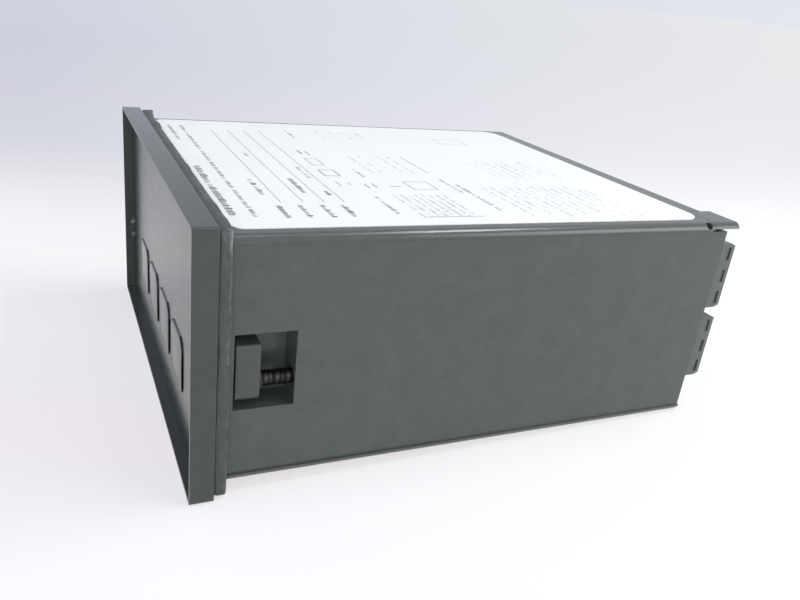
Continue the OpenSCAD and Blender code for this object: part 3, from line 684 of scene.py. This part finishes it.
def segmentShape(shape, at, along, length, front, back):
    # one bar of a digit, pointed at both ends and leaning with the digit
    half, thin = length / 2, digitValues["bar"] / 2
    outline = [(-half, 0), (thin - half, thin), (half - thin, thin), (half, 0), (half - thin, -thin),
               (thin - half, -thin)]
    rings = []
    for depth in (front, back):
        ring = []
        for u, v in outline:
            x = at[0] + u * along[0] + v * along[1]
            z = at[1] + u * along[1] + v * along[0]
            ring.append(shape.verts.new((at[2] + x + digitValues["lean"] * z, depth, at[3] + z)))
        rings.append(ring)
    shape.faces.new(rings[0])
    shape.faces.new(list(reversed(rings[1])))
    for i in range(len(outline)):
        j = (i + 1) % len(outline)
        shape.faces.new((rings[0][i], rings[1][i], rings[1][j], rings[0][j]))


def digitSegments():
    # resin that fills the light pipes of each digit, just below its face
    low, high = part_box("digit_modules")
    pitch = (high.x - low.x) / digitValues["count"]
    front, back = low.y + digitValues["sunk"], low.y + digitValues["depth"]
    middle = (low.z + high.z) / 2
    tall, wide = digitValues["height"] / 2, digitValues["width"] / 2
    shape = bmesh.new()
    for index in range(digitValues["count"]):
        x = low.x + (index + 0.5) * pitch
        for lift in (-tall, 0, tall):
            segmentShape(shape, (0, lift, x, middle), (1, 0), 2 * wide - digitValues["gap"], front, back)
        for across in (-wide, wide):
            for lift in (-tall / 2, tall / 2):
                segmentShape(shape, (across, lift, x, middle), (0, 1), tall - digitValues["gap"], front, back)
        dot = bmesh.ops.create_cone(shape, cap_ends=True, segments=digitValues["pointSides"],
                                    radius1=digitValues["point"], radius2=digitValues["point"],
                                    depth=back - front)
        place = Vector((x + wide + digitValues["pointAside"] - digitValues["lean"] * tall,
                        (front + back) / 2, middle - tall))
        for vertex in dot["verts"]:
            vertex.co = place + Vector((vertex.co.x, vertex.co.z, vertex.co.y))
    bmesh.ops.recalc_face_normals(shape, faces=shape.faces)
    return meshOf(shape, "digitSegments")


addPiece("digitSegments", digitSegments(), segmentMaterial, "housing")
print("digits drawn")

gasketValues = {"around": 420, "round": 0.4 * mm, "shoulder": 0.3, "wave": 0.14 * mm, "ragged": 0.05 * mm,
                "slowWaves": (5, 9, 16, 27), "quickWaves": (7, 13, 22, 31), "bulge": 0.12 * mm,
                "curl": 0.9 * mm, "lift": 0.25 * mm, "curlAside": (34 * mm, 12 * mm),
                "curlUp": (12 * mm, 9 * mm), "corner": 1.6 * mm, "opening": (46.15 * mm, 22.3 * mm),
                "whitening": 0.75, "whiterAbove": 20 * mm, "whiteningTop": 1.5, "whiteningElsewhere": 0.7,
                "seed": 3, "smooth": 50}


def roundedLoop(halfWide, halfTall, corner, count):
    # evenly spaced points round a rectangle with round corners, from the middle of the top
    straightX, straightZ = 2 * (halfWide - corner), 2 * (halfTall - corner)
    arc = math.pi / 2 * corner
    total = 2 * straightX + 2 * straightZ + 4 * arc
    points = []
    for index in range(count):
        run = (index / count * total + straightX / 2) % total
        for side in range(4):
            straight = straightX if side % 2 == 0 else straightZ
            turn = side * math.pi / 2
            if run < straight:
                u, v = run - straight / 2, (halfTall if side % 2 == 0 else halfWide)
                nx, nz = 0.0, 1.0
                break
            run -= straight
            if run < arc:
                angle = run / corner
                wide = (halfWide if side % 2 == 0 else halfTall) - corner
                tall = (halfTall if side % 2 == 0 else halfWide) - corner
                nx, nz = math.sin(angle), math.cos(angle)
                u, v = wide + corner * nx, tall + corner * nz
                break
            run -= arc
        cos, sin = math.cos(turn), math.sin(turn)
        points.append(((u * cos + v * sin, -u * sin + v * cos), (nx * cos + nz * sin, -nx * sin + nz * cos)))
    return points


def rampedUp(value, start, length):
    return max(0.0, min(1.0, (value - start) / length))


def gasketRing():
    # a flat ring stretched over the case: its edges wave a little, its far top end has curled up,
    # and its edges carry a whitening that the material turns into whitish streaks, strongest along the top
    low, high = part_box("gasket")
    around, shoulder = gasketValues["around"], gasketValues["shoulder"]
    slowWaves, quickWaves = gasketValues["slowWaves"], gasketValues["quickWaves"]
    outer = roundedLoop(high.x, high.z, gasketValues["corner"], around)
    hole = roundedLoop(*gasketValues["opening"], gasketValues["corner"], around)
    randomiser = random.Random(gasketValues["seed"])
    phases = [randomiser.uniform(0, 2 * math.pi) for _ in slowWaves + quickWaves]
    shape = bmesh.new()
    whiteningLayer = shape.verts.layers.float.new("whitening")
    rings = []
    for index in range(around):
        (ox, oz), (nx, nz) = outer[index]
        hx, hz = hole[index][0]
        angle = 2 * math.pi * index / around
        slow = sum(math.sin(angle * n + p) for n, p in zip(slowWaves, phases)) / 3
        quick = sum(math.sin(angle * n + p) for n, p in zip(quickWaves, phases[len(slowWaves):])) / 3
        inset = gasketValues["wave"] * (1 + slow) + gasketValues["ragged"] * randomiser.uniform(-1, 1)
        front = gasketValues["round"] * (1.1 + 0.7 * quick)
        rear = gasketValues["round"] * (1.0 + 0.5 * slow)
        farTop = rampedUp(-ox, *gasketValues["curlAside"]) * rampedUp(oz, *gasketValues["curlUp"])
        curl = gasketValues["curl"] * farTop ** 2
        lift = gasketValues["lift"] * farTop
        back = high.y - gasketValues["bulge"] * quick
        # from the opening round to the opening: inset from the outline, depth, share of the curl, whitening
        section = [
            (None, low.y, 0.0, 0.0), (inset + front, low.y, 0.1, 0.0),
            (inset + front * shoulder, low.y + front * shoulder, 0.4, 0.35),
            (inset, low.y + front, 0.7, 0.15), (inset, back - rear, 0.9, 0.35),
            (inset + rear * shoulder, back - rear * shoulder, 1.0, 1.0),
            (inset + rear, back, 0.6, 0.7), (None, back, 0.0, 0.1)]
        # the top strip gets about twice the whitish streaks of the rest
        whiteningKey = "whiteningTop" if oz > gasketValues["whiterAbove"] else "whiteningElsewhere"
        ring = []
        for away, y, share, whitening in section:
            x, z = (hx, hz) if away is None else (ox - nx * away, oz - nz * away)
            vertex = shape.verts.new((x, y + curl * share, min(high.z, z + lift * share)))
            vertex[whiteningLayer] = gasketValues["whitening"] * gasketValues[whiteningKey] * whitening * (0.65 + 0.35 * quick)
            ring.append(vertex)
        rings.append(ring)
    for here, there in zip(rings, rings[1:] + rings[:1]):
        for step in range(len(here)):
            after = (step + 1) % len(here)
            shape.faces.new((here[step], here[after], there[after], there[step]))
    bmesh.ops.recalc_face_normals(shape, faces=shape.faces)
    mesh = meshOf(shape, "gasketRing")
    smoothMesh(mesh, gasketValues["smooth"])
    return mesh


gasketPiece = addPiece("gasketRing", gasketRing(), finishes["gasket_rubber"], "housing")
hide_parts("gasket")
print("gasket made")

# the sweep's painted light and shade at its left and at its right: place, then colour, where the place is
# nearness (0.1 m divided by the distance along the view) and the two are mixed by bearing; the glow falls off
# away from the object as light does over a sweep
floorValues = {
    "half": 40.0, "clearance": 0.02 * mm, "bounce": (0.9, 0.89, 0.9), "share": 0.62, "nearest": 0.1,
    "bearing": (-0.5, 0.45),
    "along": (-0.8917, 0.4526, 0), "alongStart": 0.1449,
    "across": (0.4526, 0.8917, 0), "acrossStart": -0.0464,
    "left": [(0.0, (0.75, 0.79, 0.9)), (0.089, (0.68, 0.72, 0.83)), (0.149, (0.63, 0.64, 0.75)),
             (0.211, (0.61, 0.61, 0.72)), (0.276, (0.60, 0.61, 0.70)), (0.31, (0.64, 0.64, 0.72)),
             (0.344, (0.74, 0.72, 0.78)), (0.379, (0.84, 0.82, 0.88)), (0.413, (0.92, 0.90, 0.95)),
             (0.45, (0.98, 0.96, 1.0)), (0.49, (1.0, 0.98, 1.0)), (0.54, (0.95, 0.92, 0.97)),
             (0.645, (1.0, 0.96, 1.0)), (0.88, (1.0, 0.94, 0.99)), (1.0, (1.0, 0.96, 1.0))],
    "right": [(0.0, (1.0, 1.0, 1.0)), (0.075, (1.0, 1.0, 1.0)), (0.104, (0.97, 0.97, 1.0)),
              (0.134, (0.92, 0.93, 0.95)), (0.164, (0.89, 0.89, 0.92)), (0.196, (0.85, 0.85, 0.88)),
              (0.227, (0.87, 0.86, 0.88)), (0.26, (0.91, 0.91, 0.93)), (0.293, (0.98, 0.98, 0.99)),
              (0.33, (1.0, 0.98, 1.0))]}


def seenDirectly(tree):
    # 1 for what is seen straight, mirrored or through a clear piece, and 0 for what only lights
    path = addNode(tree, "ShaderNodeLightPath")
    seen = mathOf(tree, "MAXIMUM", path.outputs["Is Camera Ray"], path.outputs["Is Glossy Ray"])
    return mathOf(tree, "MAXIMUM", seen, path.outputs["Is Transmission Ray"])


def floorMaterial():
    # paper on a pale sweep: the camera sees it part lit by itself, so that it stays white,
    # and the object's shadow still falls on it
    material, tree, shader = newMaterial("floorPaper")
    shader.inputs["Roughness"].default_value = 0.9
    shader.inputs["Specular IOR Level"].default_value = 0.1
    shader.inputs["Base Color"].default_value = (*floorValues["bounce"], 1)
    lengths = []
    for direction, start in (("along", "alongStart"), ("across", "acrossStart")):
        dot = addNode(tree, "ShaderNodeVectorMath", operation="DOT_PRODUCT")
        dot.inputs[1].default_value = floorValues[direction]
        tree.links.new(coordinates(tree), dot.inputs[0])
        lengths.append(mathOf(tree, "ADD", dot.outputs["Value"], floorValues[start]))
    # beside and behind the camera the floor keeps the painted light of its nearest part
    along, across = mathOf(tree, "MAXIMUM", lengths[0], floorValues["nearest"] / 2), lengths[1]
    nearness = mathOf(tree, "DIVIDE", floorValues["nearest"], along)
    bearing = rangeOf(tree, mathOf(tree, "DIVIDE", across, along), 0.0, 1.0, *floorValues["bearing"])
    mix = addNode(tree, "ShaderNodeMix", data_type="RGBA")
    tree.links.new(bearing, mix.inputs["Factor"])
    tree.links.new(rampOf(tree, nearness, floorValues["left"]), mix.inputs[6])
    tree.links.new(rampOf(tree, nearness, floorValues["right"]), mix.inputs[7])
    glow = addNode(tree, "ShaderNodeEmission")
    tree.links.new(mix.outputs[2], glow.inputs["Color"])
    share = mathOf(tree, "MULTIPLY", seenDirectly(tree), floorValues["share"])
    blend = addNode(tree, "ShaderNodeMixShader")
    tree.links.new(share, blend.inputs["Fac"])
    tree.links.new(shader.outputs["BSDF"], blend.inputs[1])
    tree.links.new(glow.outputs["Emission"], blend.inputs[2])
    tree.links.new(blend.outputs["Shader"], tree.nodes["Material Output"].inputs["Surface"])
    return material


def stagedFloor():
    # the floor passes under the bezel's rear lower edge and the far finger tab
    seatY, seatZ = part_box("gasket")[0].y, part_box("case")[0].z
    tailY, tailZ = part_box("rear_cover")[1].y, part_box("rear_cover")[0].z
    slope = (tailZ - seatZ) / (tailY - seatY)
    half = floorValues["half"]
    corners = [(x, y, seatZ + slope * (y - seatY) - floorValues["clearance"])
               for x, y in ((-half, -half), (half, -half), (half, half), (-half, half))]
    mesh = bpy.data.meshes.new("floor")
    mesh.from_pydata(corners, [], [(0, 1, 2, 3)])
    mesh.materials.append(floorMaterial())
    floor = bpy.data.objects.new("floor", mesh)
    bpy.context.scene.collection.objects.link(floor)


def areaLight(name, place, target, size, power, colour):
    data = bpy.data.lights.new(name, "AREA")
    data.shape = "RECTANGLE"
    data.size, data.size_y = size
    data.energy = power
    data.color = colour
    light = bpy.data.objects.new(name, data)
    light.location = place
    light.visible_camera = False
    light.rotation_euler = (Vector(target) - Vector(place)).to_track_quat("-Z", "Y").to_euler()
    bpy.context.scene.collection.objects.link(light)


worldValues = {"front": (0.69, 0.72, 0.76), "rear": (0.38, 0.41, 0.45),
               "low": (0.84, 0.86, 0.90), "high": (0.70, 0.74, 0.82)}


def studioWorld():
    world = bpy.data.worlds.new("studio")
    bpy.context.scene.world = world
    world.use_nodes = True
    tree = world.node_tree
    background = tree.nodes["Background"]
    mix = addNode(tree, "ShaderNodeMix", data_type="RGBA")
    tree.links.new(seenDirectly(tree), mix.inputs["Factor"])
    source = addNode(tree, "ShaderNodeTexCoord")
    split = addNode(tree, "ShaderNodeSeparateXYZ")
    tree.links.new(source.outputs["Generated"], split.inputs[0])
    # the light itself is fuller from the front; what is seen is greyer towards the left
    light = rampOf(tree, rangeOf(tree, split.outputs["Y"], 0.0, 1.0, -1.0, 1.0),
                   [(0.0, worldValues["front"]), (1.0, worldValues["rear"])])
    tree.links.new(light, mix.inputs[6])
    ramp = rampOf(tree, rangeOf(tree, split.outputs["X"], 0.0, 1.0, -1.0, -0.2),
                  [(0.0, worldValues["high"]), (1.0, worldValues["low"])])
    tree.links.new(ramp, mix.inputs[7])
    tree.links.new(mix.outputs[2], background.inputs["Color"])
    background.inputs["Strength"].default_value = 1.0


# the place is in mm
cameraValues = {"place": (150.16, -24.21, 58.01), "right": (0.4072, 0.9061, 0.1144),
                "forward": (-0.8247, 0.4186, -0.3804), "sensor": 36, "lens": 33.66, "nearest": 0.005}


def studioCamera():
    # stands to the right of the bezel, a little ahead of it and above, and looks back over the case
    data = bpy.data.cameras.new("camera")
    data.sensor_width = cameraValues["sensor"]
    data.lens = cameraValues["lens"]
    data.clip_start = cameraValues["nearest"]
    camera = bpy.data.objects.new("camera", data)
    right = Vector(cameraValues["right"]).normalized()
    forward = Vector(cameraValues["forward"]).normalized()
    up = right.cross(forward).normalized()
    turn = Matrix((right, up, -forward)).transposed().to_4x4()
    camera.matrix_world = Matrix.Translation(Vector(cameraValues["place"]) * mm) @ turn
    bpy.context.scene.collection.objects.link(camera)
    bpy.context.scene.camera = camera


# each softbox: its place, what it points at, its size, its power and its colour
softboxes = {
    "highRearSoftbox": ((0.05, 0.38, 0.62), (0.04, 0.04, 0.02), (0.30, 0.07), 1.85, (1, 0.99, 0.97)),
    "overheadSoftbox": ((0.05, 0.15, 0.70), (0.04, 0.0, 0.02), (0.2, 0.06), 0.22, (1, 1, 1)),
    "frontRightSoftbox": ((0.60, -0.16, 0.22), (0.04, 0.02, 0), (0.3, 0.3), 1.6, (1, 0.99, 0.98)),
    "rearRightSoftbox": ((0.27, 0.30, 0.14), (0.045, 0.09, 0), (0.2, 0.2), 0.55, (1, 1, 0.99))}

stagedFloor()
studioWorld()
studioCamera()
for name, settings in softboxes.items():
    areaLight(name, *settings)
bpy.context.scene.view_settings.view_transform = "Standard"
print("stage set")
